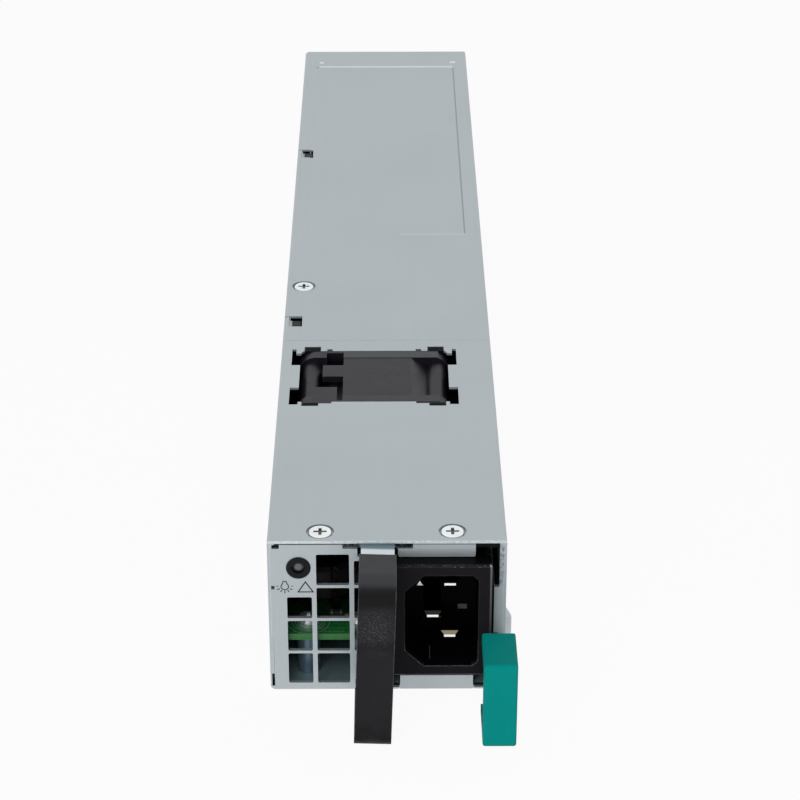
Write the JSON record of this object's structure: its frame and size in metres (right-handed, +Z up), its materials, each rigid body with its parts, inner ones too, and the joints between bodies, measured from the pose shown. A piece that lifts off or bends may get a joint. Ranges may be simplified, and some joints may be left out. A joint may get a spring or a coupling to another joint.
{
  "type": "hot swap server power supply",
  "caption": "Slim sheet-metal server power supply with mains inlet, strap handle, sprung release latch, side-window fan, status lamp and a card-edge output at the rear.",
  "frame": {"origin": "middle of the front edge of the underside", "axes": "+X to the right seen from the face, +Y from the face into the case, the way the supply is pushed into its bay, +Z up"},
  "size_m": [0.0563, 0.3551, 0.0402],
  "materials": {
    "galvanised_steel": "satin galvanised sheet",
    "screw_steel": "bright nickel plate",
    "spring_steel": "bright rolled spring strip",
    "lamp_black": "moulded black",
    "lens_clear": "clear moulded lens",
    "strap_sleeve": "black moulded sleeve, satin",
    "inlet_black": "moulded black, satin",
    "blade_plate": "nickel-plated brass blades",
    "latch_green": "moulded teal, satin gloss",
    "fan_black": "moulded black, fine spark texture",
    "rotor_black": "moulded black",
    "ferrite": "sintered, matte",
    "copper": "enamelled copper",
    "board_green": "solder mask over glass laminate",
    "contact_gold": "gold plate",
    "nylon_white": "natural nylon",
    "film_yellow": "moulded case",
    "disc_blue": "dipped ceramic",
    "fuse_ceramic": "glazed tube with metal ends",
    "case_black": "moulded epoxy",
    "can_sleeve": "sleeved aluminium can",
    "sink_aluminium": "extruded, plain",
    "tape_yellow": "polyester tape",
    "sheet_film": "insulating film",
    "wire_insulation": "insulated wire"
  },
  "bodies": {
    "case": {"bridge_rectifier": "case_black", "bulk_capacitors": "can_sleeve", "chassis_tray": "galvanised_steel", "control_board": "board_green", "cover_screws": "screw_steel", "fan_bearings": "screw_steel", "fan_cable": "wire_insulation", "fan_circuit_board": "board_green", "fan_frame": "fan_black", "fan_plug": "nylon_white", "fan_stator": "copper", "film_capacitor": "film_yellow", "filter_board": "board_green", "filter_board_screws": "screw_steel", "filter_board_standoffs": "nylon_white", "front_cover": "galvanised_steel", "fuse": "fuse_ceramic", "handle_band": "spring_steel", "handle_sleeve": "strap_sleeve", "inlet_blades": "blade_plate", "inlet_housing": "inlet_black", "inrush_relay": "case_black", "insulating_sheet": "sheet_film", "lamp_bezel": "lamp_black", "lamp_lens": "lens_clear", "latch_rivets": "screw_steel", "line_choke_core": "ferrite", "line_choke_winding": "copper", "main_board": "board_green", "main_board_screws": "screw_steel", "main_board_standoffs": "screw_steel", "mains_wires": "wire_insulation", "output_bus_bars": "copper", "output_capacitors": "can_sleeve", "output_contacts": "contact_gold", "pfc_choke_core": "ferrite", "pfc_choke_winding": "copper", "primary_heatsink": "sink_aluminium", "primary_transistors": "case_black", "rear_cover": "galvanised_steel", "rectifier_transistors": "case_black", "standby_transformer": "tape_yellow", "transformer_core": "ferrite", "transformer_winding": "tape_yellow", "x_capacitor": "film_yellow", "y_capacitors": "disc_blue"},
    "latch": {"latch_spring": "spring_steel", "latch_grip": "latch_green"},
    "fan": {"fan_rotor": "rotor_black", "fan_magnet_ring": "ferrite", "fan_shaft": "screw_steel"}
  },
  "joints": [
    {"name": "latch_bend", "type": "hinge", "parent": "case", "child": "latch", "pos_m": [0.02703, 0.066, 0.00835], "axis": [0, 0, -1], "range_deg": [0, 2], "stiffness_Nm_per_rad": 6, "springref_deg": -1.15},
    {"name": "fan_spin", "type": "hinge", "parent": "case", "child": "fan", "pos_m": [-0.0032, 0.0814, 0.02013], "axis": [0, 1, 0], "continuous": true}
  ]
}
